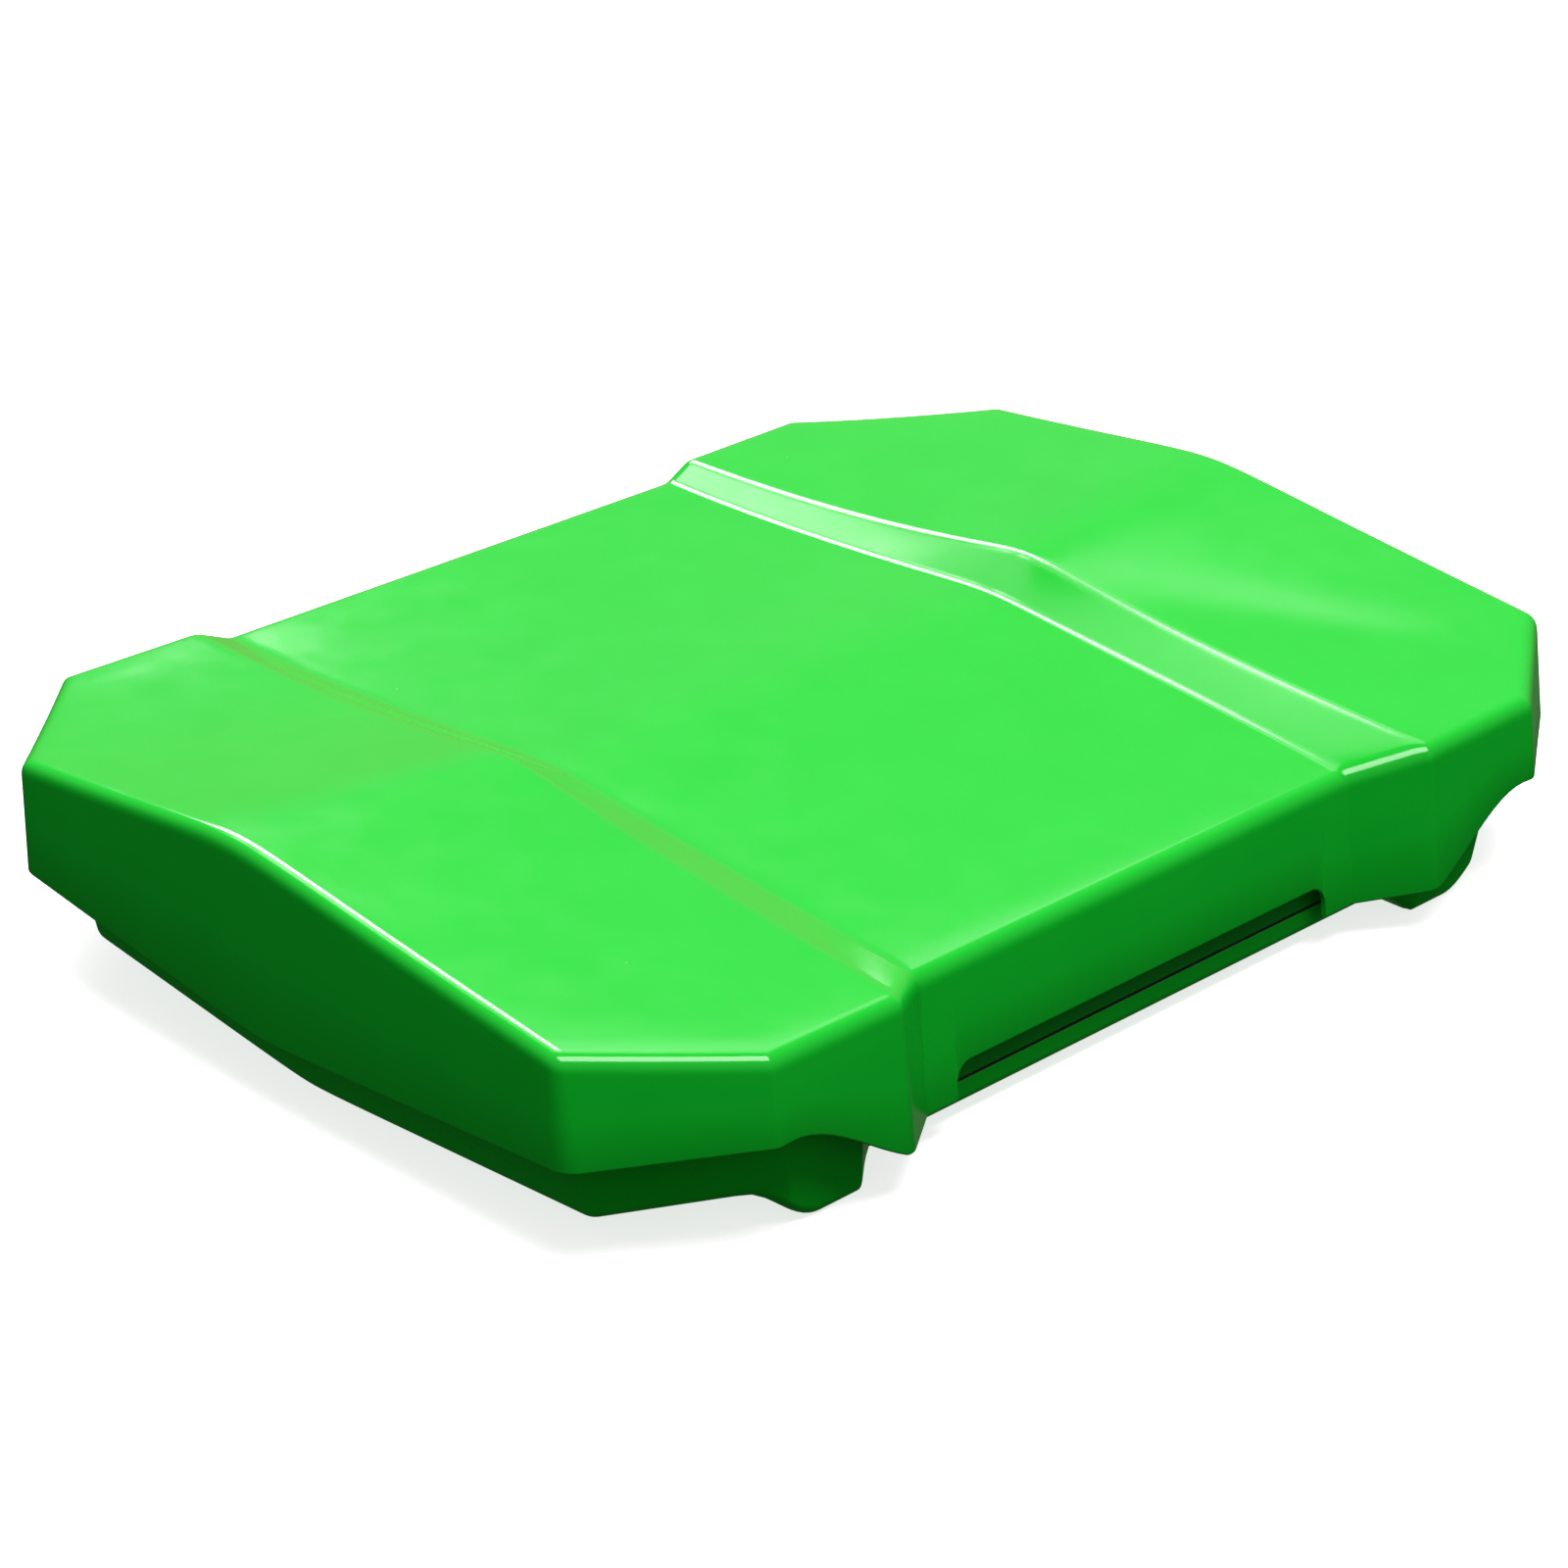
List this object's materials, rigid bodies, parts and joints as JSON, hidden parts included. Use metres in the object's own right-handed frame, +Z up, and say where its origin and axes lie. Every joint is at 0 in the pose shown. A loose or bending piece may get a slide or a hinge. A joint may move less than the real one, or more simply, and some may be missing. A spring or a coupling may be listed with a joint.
{
  "type": "play platform roof hood",
  "caption": "Two-shell moulded roof hood for a play platform, with a creased crown, a channel across the middle, skirt lobes and feet for posts.",
  "frame": {"origin": "middle of the bounding box's underside, which is the plane of the four feet", "axes": "+X towards the side with the deeper waist, +Y along the length of the crease, +Z up"},
  "size_m": [1.0833, 1.3774, 0.2667],
  "materials": {
    "roof_plastic": "glossy moulded green plastic",
    "lower_plastic": "semi-gloss moulded green plastic",
    "liner_plastic": "semi-gloss moulded green plastic",
    "rubber": "matt black rubber",
    "adhesive": "cured structural adhesive",
    "zinc_steel": "zinc-plated steel",
    "spring_steel": "blued spring steel"
  },
  "bodies": {
    "root": {"bond_bead": "adhesive", "cross_beam_front": "zinc_steel", "cross_beam_rear": "zinc_steel", "crown_pad_front": "rubber", "crown_pad_middle": "rubber", "crown_pad_rear": "rubber", "flange_clip_1": "spring_steel", "flange_clip_10": "spring_steel", "flange_clip_2": "spring_steel", "flange_clip_3": "spring_steel", "flange_clip_4": "spring_steel", "flange_clip_5": "spring_steel", "flange_clip_6": "spring_steel", "flange_clip_7": "spring_steel", "flange_clip_8": "spring_steel", "flange_clip_9": "spring_steel", "frame_bolt_1": "zinc_steel", "frame_bolt_2": "zinc_steel", "frame_bolt_3": "zinc_steel", "frame_bolt_4": "zinc_steel", "frame_bolt_5": "zinc_steel", "frame_bolt_6": "zinc_steel", "frame_bolt_7": "zinc_steel", "frame_bolt_8": "zinc_steel", "king_prop_front": "zinc_steel", "king_prop_middle": "zinc_steel", "king_prop_rear": "zinc_steel", "liner_ring": "liner_plastic", "lower_shell": "lower_plastic", "post_plate_front_left": "zinc_steel", "post_plate_front_right": "zinc_steel", "post_plate_rear_left": "zinc_steel", "post_plate_rear_right": "zinc_steel", "ridge_beam": "zinc_steel", "ridge_bolt_1": "zinc_steel", "ridge_bolt_2": "zinc_steel", "ridge_nut_1": "zinc_steel", "ridge_nut_2": "zinc_steel", "roof_shell": "roof_plastic", "seam_seal": "rubber", "side_rail_left": "zinc_steel", "side_rail_right": "zinc_steel", "spacer_tube_1": "zinc_steel", "spacer_tube_2": "zinc_steel", "spacer_tube_3": "zinc_steel", "spacer_tube_4": "zinc_steel", "spacer_tube_5": "zinc_steel", "spacer_tube_6": "zinc_steel", "spacer_tube_7": "zinc_steel", "spacer_tube_8": "zinc_steel", "weld_nut_1": "zinc_steel", "weld_nut_2": "zinc_steel", "weld_nut_3": "zinc_steel", "weld_nut_4": "zinc_steel"}
  },
  "joints": []
}
